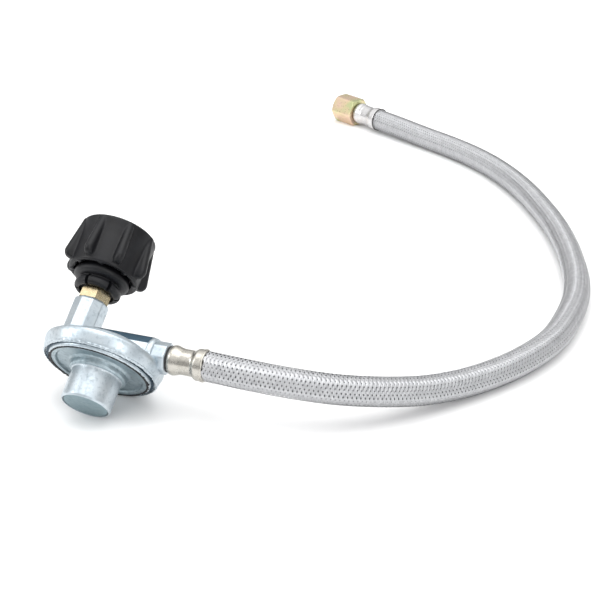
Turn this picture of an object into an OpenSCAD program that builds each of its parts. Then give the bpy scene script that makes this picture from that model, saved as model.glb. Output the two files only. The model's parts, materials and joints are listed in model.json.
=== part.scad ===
// Low-pressure propane regulator with a tank nut, a braided hose and a swivel flare nut.
// The regulator lies on its tower edge and its flange rim, the hose lies on the floor.
// Regulator pieces are drawn upright: tower down, tank nut up, outlet along +X.

/* [Regulator] */
// Diameter of the die-cast flange
flange_d = 63.2; // [63:0.1:66]
// Diameter of the spring tower on the cover
tower_d = 26.5; // [25:0.5:28]
// Height of the tower's end above the cover
tower_h = 21.4; // [21:0.2:24]
// Thickness of the tower's wall
tower_wall = 2.4; // [2:0.1:3]
// Slope of the regulator's axis as it lies, in degrees
lie_slope = 34.5; // [30:0.5:40]

/* [Inlet post] */
// Distance of the inlet post from the tower's axis
post_offset = 18.5; // [17:0.5:19]
// Diameter of the inlet post over its corners
post_d = 19.6; // [19:0.1:21]
// Height of the post's end above the cover's rim
post_top = 36.1; // [35.5:0.1:38]
// Number of flats on the inlet post
post_flats = 10; // [8:1:12]

/* [Tank nut] */
// Diameter of the nut over its ribs
nut_d = 49; // [47:0.5:52]
// Diameter of the nut's mouth
nut_mouth_d = 41.5; // [40:0.5:43]
// Minor diameter of the nut's thread
nut_thread_d = 32; // [31:0.5:33.5]
// Number of ribs on the nut
nut_ribs = 8; // [6:1:10]

/* [Hose] */
// Outer diameter of the braid
hose_d = 16; // [15:0.5:16.5]
// Outer diameter of the rubber tube
tube_d = 13; // [12:0.5:14]
// Inner diameter of the rubber tube
tube_bore = 9.5; // [9.4:0.1:10]
// Length of each crimped ferrule
ferrule_length = 21; // [18:0.5:24]
// Outer diameter of a ferrule's ends
ferrule_d = 17; // [16.5:0.5:18]

/* [Flare nut] */
// Width of the flare nut over its flats
flare_flats = 20; // [19:0.5:22]
// Length of the flare nut
flare_length = 20; // [18:0.5:22]
// Minor diameter of the flare nut's thread
flare_thread_d = 14.4; // [14.2:0.1:14.6]

/* [Hidden] */
$fn = 64;

// Regulator heights, along its own axis from the cover's rim
ledge_z = 5;
diaphragm_t = 0.8;
chamber_top = 11.5;
shell_top = 13;
outlet_z = 12.6;
duct_r = 7.3;
boss_r = 8;
boss_face = 35;
rim_r = 28.2;
rim_edge_r = 26.1;
rim_face = -1.4;
post_bore_z = 22;
nozzle_tip = 10.2;
hex_top = 41.8;
nut_back = 51.6;
nut_mouth = 79.6;
rib_turn = 39;
poppet_seat = 15;
hinge_x = -13;
hinge_z = 7.2;
disc_top = 9.3;
disc_low = 8;
lever_low = 5.8;
lever_high = 7;
plate_low = 3.4;
helix_steps = 14;
helix_sides = 8;

// Outlet line: pieces on it are drawn along +Z from the boss face
seal_t = 1;
barb_r = 4.6;
neck_r = 5.2;
tail_start = seal_t + ferrule_length - 1;

// The hose's route, from the ferrule at the regulator to the seal at the far end
ROUTE = [
    [56, 10.4, 30.2], [76, 11, 29.2], [98, 16, 25.9], [120.5, 25, 21.5], [141, 39, 16.5],
    [159, 56, 11.6], [175.5, 75, 8.9], [190, 95, 8.1], [202, 117, 8.1], [210, 141, 8.1],
    [213, 167, 8.1], [213, 193, 8.1], [209, 219, 8.1], [202, 244, 8.1], [193, 269, 8.1],
    [182, 294, 8.1], [169, 318, 8.1], [155, 341, 8.1], [139, 363, 8.1], [121, 383, 8.1],
    [101, 400, 8.1], [80, 414, 8.1], [57, 426.5, 8.3], [34, 438, 9.3], [12, 449, 10]
];
hose_sides = 12;
rings_per_span = 2;
end_heading = 153.5;
end_way = [cos(end_heading), sin(end_heading), 0];

// Place of the regulator's axis in the part's frame
axis_place = [-6.7, -26.4, 0];

// Height that puts the tower's edge on the floor
lift = tower_h * sin(lie_slope) + tower_d / 2 * cos(lie_slope);

module lying() {
    translate(axis_place + [0, 0, lift]) rotate([lie_slope - 90, 0, 0]) children();
}

module on_post() {
    lying() translate([-post_offset, 0, 0]) children();
}

module on_outlet() {
    lying() translate([boss_face, 0, outlet_z]) rotate([0, 90, 0]) children();
}

module on_hose_end() {
    translate(axis_place + ROUTE[len(ROUTE) - 1]) rotate([0, 0, end_heading]) rotate([0, 90, 0]) children();
}

// A washer or sleeve between two heights
module ring(outer_r, inner_r, low, high) {
    translate([0, 0, low]) difference() {
        cylinder(r = outer_r, h = high - low);
        translate([0, 0, -1]) cylinder(r = inner_r, h = high - low + 2);
    }
}

function unit(v) = v / norm(v);

// A point of the smooth curve through four neighbouring route points
function curve_at(a, b, c, d, t) =
    0.5 * ((2 * b) + (c - a) * t + (2 * a - 5 * b + 4 * c - d) * t * t + (3 * b - a - 3 * c + d) * t * t * t);

function route_before(k) = k > 0 ? ROUTE[k - 1] : 2 * ROUTE[0] - ROUTE[1];
function route_after(k) = k < len(ROUTE) - 1 ? ROUTE[k + 1] : 2 * ROUTE[k] - ROUTE[k - 1];

hose_line = [
    for (k = [0 : len(ROUTE) - 2], s = [0 : rings_per_span - 1])
        curve_at(route_before(k), ROUTE[k], ROUTE[k + 1], route_after(k + 1), s / rings_per_span),
    ROUTE[len(ROUTE) - 1]
];

// Direction of a line of points at one of them
function line_way(line, k) = unit(line[min(k + 1, len(line) - 1)] - line[max(k - 1, 0)]);

// The ring of points around one point of a line, square to its way, without twist about +Z
function ring_at(line, k, r, sides, way) =
    let (side = unit(cross([0, 0, 1], way)), top = cross(way, side))
    [for (j = [0 : sides - 1]) line[k] + r * (cos(360 * j / sides) * side + sin(360 * j / sides) * top)];

function first_way(line, k, start, finish) =
    k == 0 ? start : k == len(line) - 1 ? finish : line_way(line, k);

// The quads between two rings of a sweep, turned to face out or in
function wall_faces(first, rings, sides, out) = [
    for (k = [0 : rings - 2], j = [0 : sides - 1])
        let (a = first + k * sides + j, b = first + k * sides + (j + 1) % sides)
        out ? [a, b, b + sides, a + sides] : [a, a + sides, b + sides, b]
];

// The quads that close the end between the outer and the inner wall
function end_faces(outer, inner, sides, out) = [
    for (j = [0 : sides - 1])
        let (n = (j + 1) % sides)
        out ? [outer + j, outer + n, inner + n, inner + j] : [outer + j, inner + j, inner + n, outer + n]
];

// A hollow tube swept along a line of points
module swept_tube(line, outer_r, inner_r, sides, start, finish) {
    rings = len(line);
    total = rings * sides;
    outer = [for (k = [0 : rings - 1])
        each ring_at(line, k, outer_r, sides, first_way(line, k, start, finish))];
    inner = [for (k = [0 : rings - 1])
        each ring_at(line, k, inner_r, sides, first_way(line, k, start, finish))];
    last = total - sides;
    polyhedron(
        points = concat(outer, inner),
        faces = concat(
            wall_faces(0, rings, sides, false), wall_faces(total, rings, sides, true),
            end_faces(0, total, sides, true), end_faces(last, total + last, sides, false)
        ),
        convexity = 10
    );
}

// A coil spring between two heights, swept as a round wire
module coil_spring(mean_r, wire_r, low, high, turns) {
    steps = turns * helix_steps;
    rise = (high - low - 2 * wire_r) / steps;
    line = [
        for (k = [0 : steps])
            [mean_r * cos(360 * k / helix_steps), mean_r * sin(360 * k / helix_steps), low + wire_r + rise * k]
    ];
    points = [for (k = [0 : steps]) each ring_at(line, k, wire_r, helix_sides, line_way(line, k))];
    last = steps * helix_sides;
    polyhedron(
        points = points,
        faces = concat(
            [[for (j = [0 : helix_sides - 1]) j]],
            wall_faces(0, steps + 1, helix_sides, false),
            [[for (j = [helix_sides - 1 : -1 : 0]) last + j]]
        ),
        convexity = 10
    );
}

// One of the nested slabs that make a rib: the wider one sinks lower, which rounds the rib
module rib_slab(half_width, sink) {
    back = nut_back + 2.6 + sink;
    front = nut_mouth - 2.6 - sink;
    base_r = nut_mouth_d / 2 - 3 + sink / 4;
    tip_r = nut_d / 2 - sink;
    rotate([90, 0, 0]) linear_extrude(height = 2 * half_width, center = true) polygon([
        [base_r, back], [tip_r - 3.6, back], [tip_r - 1.2, back + 1.6], [tip_r, back + 4.2],
        [nut_mouth_d / 2 - 0.3, front], [base_r, front]
    ]);
}

module nut_rib() {
    rib_slab(2.1, 0);
    rib_slab(3.1, 1.1);
}

module nut_core() {
    core_back = nut_back + 0.5;
    web_low = nut_back + 5;
    web_high = nut_back + 8;
    thread_r = nut_thread_d / 2;
    core_r = nut_mouth_d / 2 - 1.2;
    rotate_extrude() polygon([
        [7.6, web_low], [15.2, web_low], [15.8, core_back], [core_r - 1, core_back],
        [core_r - 0.2, core_back + 0.8],
        [core_r, nut_mouth - 3], [nut_mouth_d / 2, nut_mouth - 1], [nut_mouth_d / 2 - 0.4, nut_mouth],
        [thread_r + 1.6, nut_mouth], [thread_r, nut_mouth - 1.6], [thread_r, web_high], [7.6, web_high]
    ]);
}

module coupling_nut() {
    color("#1b1b1d") on_post() union() {
        nut_core();
        for (k = [0 : nut_ribs - 1]) rotate([0, 0, 360 * k / nut_ribs + rib_turn]) nut_rib();
    }
}

module thermal_bushing() {
    slits = 6;
    color("#242426") on_post() difference() {
        rotate_extrude() polygon([
            [9.6, hex_top], [11.4, hex_top], [12.2, hex_top + 1.2], [11.6, hex_top + 6], [14.6, nut_back - 2.4],
            [14.6, nut_back + 1.6], [13.4, nut_back + 4.6], [6.4, nut_back + 4.6], [6.4, hex_top + 4],
            [9.6, hex_top + 3]
        ]);
        for (k = [0 : slits - 1]) rotate([0, 0, 360 * k / slits + 22])
            translate([8, -0.7, hex_top - 1]) cube([8, 1.4, 7]);
    }
}

module inlet_nipple() {
    hex_r = 9.1;
    chamber_r = 4.2;
    color("#c9a24a") on_post() difference() {
        union() {
            translate([0, 0, post_bore_z + 3]) cylinder(r = 5.9, h = post_top - post_bore_z - 3);
            intersection() {
                translate([0, 0, post_top]) cylinder(r = hex_r, h = hex_top - post_top, $fn = 6);
                translate([0, 0, post_top])
                    cylinder(r1 = hex_r + 1.5, r2 = hex_r - 0.5, h = hex_top - post_top);
            }
            translate([0, 0, hex_top]) cylinder(r = 6.2, h = 19);
            translate([0, 0, nut_back + 8.3]) cylinder(r = 9.6, h = 2.6);
            translate([0, 0, nut_back + 10]) cylinder(r = 6.8, h = 15);
            translate([0, 0, nut_back + 25]) cylinder(r1 = 6.8, r2 = 5.6, h = 1.6);
        }
        ring(10, 5.7, nut_back + 20.6, nut_back + 23.2);
        translate([0, 0, post_bore_z]) cylinder(r = 2.2, h = 60);
        translate([0, 0, hex_top + poppet_seat]) cylinder(r = 3.3, h = 40);
        translate([0, 0, hex_top + poppet_seat + 4]) cylinder(r = chamber_r, h = 40);
    }
}

module nipple_seal() {
    color("#202022") on_post() ring(7.2, 5.7, nut_back + 20.7, nut_back + 23.1);
}

module excess_flow_poppet() {
    color("#d8b25a") on_post() translate([0, 0, hex_top + poppet_seat]) union() {
        translate([0, 0, 0.6]) cylinder(r = 2, h = 7);
        translate([0, 0, 7]) cylinder(r = 3.7, h = 3);
        translate([0, 0, 10]) cylinder(r = 1.2, h = 3);
    }
}

module excess_flow_spring() {
    color("#b9bcc0") on_post()
        coil_spring(2.7, 0.3, hex_top + poppet_seat + 0.1, hex_top + poppet_seat + 6.9, 4);
}

module poppet_retainer() {
    low = hex_top + poppet_seat + 10.1;
    color("#c9a24a") on_post() difference() {
        translate([0, 0, low]) cylinder(r = 4.2, h = 1.6);
        translate([0, 0, low - 1]) cylinder(r = 1.5, h = 4);
        for (k = [0 : 3]) rotate([0, 0, 90 * k]) translate([2.75, 0, low - 1]) cylinder(r = 0.8, h = 4);
    }
}

module body_shell() {
    flange_r = flange_d / 2;
    rotate_extrude() polygon([
        [26.3, rim_face - 0.1], [26.9, rim_face - 0.1], [29.4, 2.3], [flange_r - 0.5, 4.8], [flange_r, 5.6],
        [flange_r, 7.8], [flange_r - 0.8, 8.6], [25.5, 8.6], [23.6, 12.2], [22.6, shell_top], [0, shell_top],
        [0, chamber_top], [21, chamber_top], [21, ledge_z], [rim_r + 0.2, ledge_z], [rim_r + 0.2, 2.8],
        [26.3, -0.5]
    ]);
}

module inlet_post() {
    intersection() {
        translate([0, 0, 8]) rotate([0, 0, 8]) cylinder(d = post_d, h = post_top - 8, $fn = post_flats);
        translate([0, 0, 8]) cylinder(r1 = post_d / 2 + 14, r2 = post_d / 2 - 0.8, h = post_top - 8);
    }
}

module lever_lugs() {
    for (side = [-1, 1]) difference() {
        translate([hinge_x - 2, side * 5 - 1, hinge_z - 2]) cube([4, 2, chamber_top - hinge_z + 2.5]);
        translate([hinge_x, 0, hinge_z]) rotate([90, 0, 0]) cylinder(r = 1, h = 20, center = true);
    }
}

module regulator_body() {
    duct_start = -post_offset;
    color("#aeb6ba") lying() union() {
        difference() {
            union() {
                body_shell();
                translate([duct_start, 0, outlet_z]) rotate([0, 90, 0]) cylinder(r = duct_r, h = 45);
                translate([duct_start, -duct_r, 9]) cube([45, 2 * duct_r, outlet_z - 9]);
                translate([25, 0, outlet_z]) rotate([0, 90, 0]) cylinder(r = boss_r, h = boss_face - 25);
                translate([-post_offset, 0, 0]) inlet_post();
            }
            translate([0, 0, ledge_z - 1]) cylinder(r = 21, h = chamber_top - ledge_z + 1);
            translate([-post_offset, 0, ledge_z]) cylinder(r = 4.6, h = chamber_top - ledge_z);
            translate([-post_offset, 0, ledge_z]) cylinder(r = 3.5, h = 11);
            translate([-post_offset, 0, ledge_z]) cylinder(r = 1.5, h = 20);
            translate([-post_offset, 0, post_bore_z]) cylinder(r = 5.9, h = 20);
            translate([-4, 0, outlet_z]) rotate([0, 90, 0]) cylinder(r = 3.5, h = 50);
            translate([22, 0, outlet_z]) rotate([0, 90, 0]) cylinder(r = 5.9, h = 20);
        }
        lever_lugs();
    }
}

module orifice() {
    color("#c9a24a") on_post() difference() {
        union() {
            translate([0, 0, chamber_top]) cylinder(r = 3.5, h = 4.5);
            translate([0, 0, nozzle_tip]) cylinder(r1 = 1.7, r2 = 2.6, h = chamber_top - nozzle_tip);
        }
        translate([0, 0, nozzle_tip - 1]) cylinder(r = 0.9, h = 8);
    }
}

module seat_disc() {
    color("#2b2b2b") on_post() translate([0, 0, disc_low]) cylinder(r = 2.6, h = disc_top - disc_low);
}

module seat_holder() {
    color("#d9d9d2") on_post() difference() {
        translate([0, 0, lever_high]) cylinder(r = 3.3, h = disc_top - 0.5 - lever_high);
        translate([0, 0, disc_low]) cylinder(r = 2.6, h = 3);
    }
}

module lever() {
    fork_w = 6.4;
    color("#c5c8cb") lying() difference() {
        union() {
            translate([-post_offset - 2.4, -fork_w / 2, lever_low])
                cube([post_offset + 5.4, fork_w, lever_high - lever_low]);
            translate([hinge_x, 3.4, hinge_z]) rotate([90, 0, 0]) cylinder(r = 1.9, h = 6.8);
        }
        translate([hinge_x, 0, hinge_z]) rotate([90, 0, 0]) cylinder(r = 1.05, h = 20, center = true);
        translate([0, 0, lever_low - 1]) cylinder(r = 1.8, h = 3);
        translate([0, -1.8, lever_low - 1]) cube([6, 3.6, 3]);
    }
}

module lever_pin() {
    color("#c5c8cb") lying() translate([hinge_x, 0, hinge_z]) rotate([90, 0, 0])
        cylinder(r = 1, h = 12, center = true);
}

module diaphragm() {
    low = ledge_z - diaphragm_t;
    color("#3a3a3c") lying() rotate_extrude() polygon([
        [2.2, low], [16.2, low], [17.4, low - 0.7], [19, low - 1], [20.6, low - 0.7], [21.8, low],
        [rim_r, low], [rim_r, ledge_z], [21.4, ledge_z], [20.2, ledge_z - 0.6], [19, ledge_z - 0.9],
        [17.8, ledge_z - 0.6], [16.6, ledge_z], [2.2, ledge_z]
    ]);
}

module diaphragm_plate() {
    color("#cfd2d4") lying() ring(15.5, 2.2, plate_low, ledge_z - diaphragm_t);
}

module diaphragm_post() {
    color("#d0ccc0") lying() union() {
        translate([0, 0, -6]) cylinder(r = 1.9, h = 11);
        translate([0, 0, ledge_z + 0.05]) cylinder(r = 3.4, h = 0.2);
        translate([0, 0, ledge_z]) cylinder(r = 1.4, h = 3);
        translate([0, 0, lever_high + 0.5]) cylinder(r = 2.6, h = 1.4);
    }
}

module relief_spring() {
    color("#b9bcc0") lying() coil_spring(3.2, 0.4, -3.8, plate_low - 0.1, 4);
}

module relief_retainer() {
    color("#cfd2d4") lying() ring(4.6, 1.9, -5.2, -3.9);
}

module main_spring() {
    color("#b9bcc0") lying() coil_spring(8.2, 0.8, -13.4, plate_low - 0.1, 5);
}

module adjusting_screw() {
    color("#e0ddd2") lying() difference() {
        union() {
            translate([0, 0, -17.4]) cylinder(r = tower_d / 2 - tower_wall, h = 3.9);
            translate([0, 0, -14]) cylinder(r = 6.8, h = 3);
        }
        translate([0, 0, -18]) cylinder(r = 4, h = 12, $fn = 6);
    }
}

module cover() {
    tower_r = tower_d / 2;
    bore_r = tower_r - tower_wall;
    inner_z = 1.2;
    color("#9aa6ab") lying() difference() {
        rotate_extrude() polygon([
            [bore_r, inner_z], [24.2, inner_z], [24.2, ledge_z - diaphragm_t], [rim_r, ledge_z - diaphragm_t],
            [rim_r, 2.9], [rim_edge_r, -0.4], [rim_edge_r, rim_face], [23.6, rim_face], [22.9, -0.5],
            [15.6, -0.5],
            [15, -1.2], [15, -3.6], [14.6, -4], [tower_r, -4.1], [tower_r, 0.6 - tower_h],
            [tower_r - 0.6, -tower_h], [bore_r + 1.4, -tower_h], [bore_r + 1.4, 2 - tower_h],
            [bore_r, 2 - tower_h]
        ]);
        translate([0, 19.2, -2]) cylinder(r = 1.6, h = 6);
    }
}

module tower_cap() {
    color("#8fa3a6") lying() translate([0, 0, -tower_h])
        cylinder(r = tower_d / 2 - tower_wall + 1.38, h = 1.9);
}

module vent_screen() {
    color("#c0c4c6") lying() translate([0, 19.2, -0.2]) cylinder(r = 1.58, h = 0.6);
}

module outlet_stem() {
    color("#b8b2a2") on_outlet() difference() {
        union() {
            translate([0, 0, -10]) cylinder(r = 5.9, h = 10);
            cylinder(r = 5.6, h = seal_t + 0.5);
            cylinder(r = barb_r, h = seal_t + ferrule_length - 1);
            for (k = [0 : 3]) translate([0, 0, 4 + 4 * k]) cylinder(r1 = barb_r, r2 = barb_r + 0.4, h = 2);
        }
        translate([0, 0, -11]) cylinder(r = 3.2, h = 50);
    }
}

module outlet_seal() {
    color("#26282a") on_outlet() ring(6.9, 5.65, 0, seal_t);
}

// A crimped ferrule: rounded shoulder, squeezed waist and a plain collar over the hose
module ferrule(shoulder_r, waist_r, collar_r) {
    rotate_extrude() polygon([
        [5.7, 0], [6.9, 0], [shoulder_r - 0.3, 0.9], [shoulder_r, 2.2], [shoulder_r - 0.2, 3.8], [waist_r, 6],
        [waist_r, 13], [collar_r - 0.5, 14.6], [collar_r, 15.4], [collar_r, 20 * ferrule_length / 21 - 0.4],
        [collar_r - 0.3, ferrule_length - 1], [5.3, ferrule_length - 1], [5.3, 2], [5.7, 2]
    ]);
}

module near_ferrule() {
    color("#b7b1a3") on_outlet() translate([0, 0, seal_t]) ferrule(7.9, 6.8, 8.4);
}

module hose() {
    color("#b4b8ba") translate(axis_place)
        swept_tube(hose_line, hose_d / 2, tube_d / 2 + 0.25, hose_sides, [1, 0, 0], end_way);
}

module inner_tube() {
    color("#2a2c2e") translate(axis_place)
        swept_tube(hose_line, tube_d / 2, tube_bore / 2, hose_sides, [1, 0, 0], end_way);
}

module far_seal() {
    color("#26282a") on_hose_end() ring(7.7, 5.3, 0, seal_t);
}

module far_ferrule() {
    color("#cdd0d2") on_hose_end() translate([0, 0, tail_start]) mirror([0, 0, 1])
        ferrule(8.2, 7.5, ferrule_d / 2);
}

module flare_tail() {
    nut_floor = tail_start + 0.6;
    color("#c9ccce") on_hose_end() difference() {
        union() {
            cylinder(r = barb_r, h = tail_start + 1);
            translate([0, 0, tail_start]) cylinder(r = neck_r, h = 6);
            translate([0, 0, nut_floor + 4.4]) cylinder(r = 6.9, h = 2.4);
            translate([0, 0, nut_floor + 6.8]) cylinder(r1 = 6.9, r2 = 3.9, h = 3);
        }
        cylinder(r = 3.2, h = 50);
    }
}

module flare_nut() {
    corner_r = flare_flats / sqrt(3);
    low = tail_start + 0.6;
    color("#c8a75c") on_hose_end() translate([0, 0, low]) difference() {
        intersection() {
            rotate([0, 0, 30]) cylinder(r = corner_r, h = flare_length, $fn = 6);
            cylinder(r1 = corner_r - 1.1, r2 = corner_r + 9.5, h = flare_length);
            cylinder(r1 = corner_r + 9.5, r2 = corner_r - 1.1, h = flare_length);
        }
        translate([0, 0, -1]) cylinder(r = neck_r + 0.3, h = 6);
        translate([0, 0, 4]) cylinder(r = flare_thread_d / 2 + 0.6, h = 6.6);
        translate([0, 0, 4]) cylinder(r = flare_thread_d / 2, h = flare_length);
        translate([0, 0, flare_length - 1])
            cylinder(r1 = flare_thread_d / 2, r2 = flare_thread_d / 2 + 1.1, h = 1.1);
    }
}

coupling_nut();
thermal_bushing();
inlet_nipple();
nipple_seal();
excess_flow_poppet();
excess_flow_spring();
poppet_retainer();
regulator_body();
orifice();
seat_disc();
seat_holder();
lever();
lever_pin();
diaphragm();
diaphragm_plate();
diaphragm_post();
relief_spring();
relief_retainer();
main_spring();
adjusting_screw();
cover();
tower_cap();
vent_screen();
outlet_stem();
outlet_seal();
near_ferrule();
hose();
inner_tube();
far_seal();
far_ferrule();
flare_tail();
flare_nut();
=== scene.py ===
import json
import math

import bmesh
import bpy
import numpy as np
from mathutils import Matrix, Vector, noise


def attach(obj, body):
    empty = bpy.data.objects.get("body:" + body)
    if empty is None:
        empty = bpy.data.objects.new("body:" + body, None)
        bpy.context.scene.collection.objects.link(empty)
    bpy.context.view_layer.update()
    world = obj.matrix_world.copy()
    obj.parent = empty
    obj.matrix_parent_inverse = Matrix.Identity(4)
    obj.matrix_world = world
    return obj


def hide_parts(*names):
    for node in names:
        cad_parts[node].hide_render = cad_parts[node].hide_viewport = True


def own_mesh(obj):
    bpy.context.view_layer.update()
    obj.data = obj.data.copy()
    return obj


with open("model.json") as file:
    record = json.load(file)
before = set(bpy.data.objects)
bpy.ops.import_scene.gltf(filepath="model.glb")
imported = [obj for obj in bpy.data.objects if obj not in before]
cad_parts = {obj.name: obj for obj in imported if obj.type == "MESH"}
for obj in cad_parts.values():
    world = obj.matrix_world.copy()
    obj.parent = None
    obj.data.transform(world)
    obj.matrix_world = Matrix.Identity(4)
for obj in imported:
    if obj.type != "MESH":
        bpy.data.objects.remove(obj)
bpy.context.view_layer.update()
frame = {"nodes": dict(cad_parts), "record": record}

MM = 0.001
TAU = 2 * math.pi

# --- Places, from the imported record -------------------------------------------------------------

JOINTS = {joint["name"]: joint for joint in frame["record"]["behaviour"]["joints"]}
POST_OFFSET = 18.5 * MM
SPIN_HEIGHT = 66 * MM
NUT_SPIN = JOINTS["tank_nut_spin"]
AXIS = Vector(NUT_SPIN["axis"])
SPIN_PLACE = Vector(NUT_SPIN["pos_m"])
FOOT = SPIN_PLACE - AXIS * SPIN_HEIGHT + Vector((POST_OFFSET, 0, 0))
END_WAY = Vector(JOINTS["flare_nut_spin"]["axis"])
END_SPIN_DEPTH = 31.6 * MM
END_PLACE = Vector(JOINTS["flare_nut_spin"]["pos_m"]) - END_WAY * END_SPIN_DEPTH


def axes_matrix(place, x_way, z_way):
    """A frame at place with these x and z directions."""
    y_way = z_way.cross(x_way)
    turn = Matrix((x_way, y_way, z_way)).transposed()
    return Matrix.Translation(place) @ turn.to_4x4()


X_WAY = Vector((1, 0, 0))
Z_WAY = Vector((0, 0, 1))
LYING = axes_matrix(FOOT, X_WAY, AXIS)
ON_POST = LYING @ Matrix.Translation((-POST_OFFSET, 0, 0))
BOSS_FACE = 35 * MM
OUTLET_HEIGHT = 12.6 * MM
ON_OUTLET = axes_matrix(LYING @ Vector((BOSS_FACE, 0, OUTLET_HEIGHT)), -AXIS, X_WAY)
ON_HOSE_END = axes_matrix(END_PLACE, -Z_WAY, END_WAY)

# --- Camera -------------------------------------------------------------------------------------

CAMERA_PLACE = Vector((0.2969, -0.5568, 0.3726))
CAMERA_LOOK = Vector((-0.30517, 0.83544, -0.45706))
CAMERA_LENS = 81.0


def make_camera():
    data = bpy.data.cameras.new("camera")
    data.lens = CAMERA_LENS
    data.sensor_width = 36.0
    data.clip_start = 0.01
    camera = bpy.data.objects.new("camera", data)
    turn = CAMERA_LOOK.to_track_quat("-Z", "Y").to_matrix().to_4x4()
    camera.matrix_world = Matrix.Translation(CAMERA_PLACE) @ turn
    bpy.context.scene.collection.objects.link(camera)
    bpy.context.scene.camera = camera


make_camera()

# --- Materials ----------------------------------------------------------------------------------


class Nodes:
    """A short way to wire a material's nodes."""

    def __init__(self, name):
        self.material = bpy.data.materials.new(name)
        self.material.use_nodes = True
        self.tree = self.material.node_tree
        self.shader = self.tree.nodes["Principled BSDF"]

    def node(self, kind, **settings):
        made = self.tree.nodes.new(kind)
        for key, value in settings.items():
            setattr(made, key, value)
        return made

    def link(self, source, target):
        self.tree.links.new(source, target)

    def noise(self, scale, detail, roughness):
        place = self.node("ShaderNodeTexCoord")
        made = self.node("ShaderNodeTexNoise")
        made.inputs["Scale"].default_value = scale
        made.inputs["Detail"].default_value = detail
        made.inputs["Roughness"].default_value = roughness
        self.link(place.outputs["Object"], made.inputs["Vector"])
        return made.outputs["Fac"]

    def ramp(self, factor, stops):
        made = self.node("ShaderNodeValToRGB")
        elements = made.color_ramp.elements
        while len(elements) < len(stops):
            elements.new(0.5)
        for element, (place, colour) in zip(elements, stops):
            element.position = place
            element.color = (*colour, 1)
        self.link(factor, made.inputs["Fac"])
        return made.outputs["Color"]

    def span(self, factor, low, high, start=0.0, stop=1.0):
        made = self.node("ShaderNodeMapRange")
        made.inputs["From Min"].default_value = start
        made.inputs["From Max"].default_value = stop
        made.inputs["To Min"].default_value = low
        made.inputs["To Max"].default_value = high
        self.link(factor, made.inputs["Value"])
        return made.outputs["Result"]

    def mix(self, factor, first, second):
        """A colour that goes from a socket's colour to a plain one."""
        made = self.node("ShaderNodeMix", data_type="RGBA")
        self.link(factor, made.inputs["Factor"])
        sockets = {i.name: i for i in made.inputs if i.type == "RGBA"}
        self.link(first, sockets["A"])
        sockets["B"].default_value = (*second, 1)
        return next(o for o in made.outputs if o.type == "RGBA")

    def bump(self, height, strength, distance, before=None):
        made = self.node("ShaderNodeBump")
        made.inputs["Strength"].default_value = strength
        made.inputs["Distance"].default_value = distance
        self.link(height, made.inputs["Height"])
        if before:
            self.link(before, made.inputs["Normal"])
        return made.outputs["Normal"]

    def finish(self, colour, roughness, normal=None, metallic=0.0):
        self.link(colour, self.shader.inputs["Base Color"])
        self.link(roughness, self.shader.inputs["Roughness"])
        self.shader.inputs["Metallic"].default_value = metallic
        if normal:
            self.link(normal, self.shader.inputs["Normal"])
        return self.material


def cast_zinc(name, light, dark, blue, rough):
    """Die-cast zinc: soft cloudy patches, small mottled marks, fine grain, and painted shade that darkens the
    creases.
    """
    n = Nodes(name)
    clouds = n.noise(55, 3, 0.5)
    marks = n.noise(520, 5, 0.65)
    grain = n.noise(1900, 3, 0.6)
    colour = n.ramp(clouds, [(0.34, blue), (0.66, light)])
    colour = n.mix(n.span(marks, 0.0, 0.6, 0.5, 0.72), colour, dark)
    # Painted shade: concave creases (low pointiness) are darkened towards a near-black blue.
    crease = n.node("ShaderNodeNewGeometry").outputs["Pointiness"]
    colour = n.mix(n.span(crease, 0.85, 0.0, 0.40, 0.485), colour, CREASE_SHADE)
    roughness = n.span(marks, rough - 0.06, rough + 0.14, 0.3, 0.7)
    normal = n.bump(marks, 0.12, 0.0003)
    normal = n.bump(grain, 0.1, 0.0002, normal)
    return n.finish(colour, roughness, normal, metallic=0.8)


def turned_metal(name, light, dark, rough, streaks, metallic=0.95):
    """Machined metal: fine turning or rolling lines and a little tarnish."""
    n = Nodes(name)
    lines = n.noise(streaks, 3, 0.6)
    tarnish = n.noise(150, 2, 0.5)
    colour = n.ramp(tarnish, [(0.3, dark), (0.62, light)])
    roughness = n.span(lines, rough - 0.07, rough + 0.12, 0.3, 0.7)
    return n.finish(colour, roughness, n.bump(lines, 0.05, 0.00015), metallic)


def chromate():
    """Yellow chromate: gold that drifts to pink and green over each flat."""
    n = Nodes("chromate")
    drift = n.noise(95, 2, 0.4)
    fine = n.noise(900, 4, 0.6)
    gold, pink, green = (0.72, 0.60, 0.38), (0.78, 0.58, 0.45), (0.58, 0.60, 0.33)
    colour = n.ramp(drift, [(0.34, green), (0.47, gold), (0.62, pink), (0.75, gold)])
    roughness = n.span(fine, 0.24, 0.42, 0.3, 0.7)
    return n.finish(colour, roughness, n.bump(fine, 0.12, 0.0002), metallic=0.85)


def black_plastic():
    """Moulded black nylon: fine eggshell grain, random paler smudges, and a painted highlight on its convex
    edges.
    """
    n = Nodes("black_plastic")
    grain = n.noise(2600, 3, 0.6)
    smudge = n.noise(120, 4, 0.6)
    colour = n.ramp(smudge, [(0.3, (0.004, 0.004, 0.005)), (0.75, (0.009, 0.0095, 0.012))])
    # Painted highlight: convex edges (high pointiness) are lightened.
    edge = n.node("ShaderNodeNewGeometry").outputs["Pointiness"]
    colour = n.mix(n.span(edge, 0.0, 0.4, 0.53, 0.65), colour, (0.03, 0.031, 0.035))
    roughness = n.span(smudge, 0.38, 0.52, 0.3, 0.7)
    n.shader.inputs["Specular IOR Level"].default_value = 0.3
    return n.finish(colour, roughness, n.bump(grain, 0.15, 0.0001))


def rubber():
    n = Nodes("rubber")
    grain = n.noise(1500, 4, 0.6)
    colour = n.ramp(grain, [(0.3, (0.012, 0.012, 0.013)), (0.7, (0.035, 0.035, 0.037))])
    return n.finish(colour, n.span(grain, 0.55, 0.8), n.bump(grain, 0.2, 0.0002))


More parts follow.
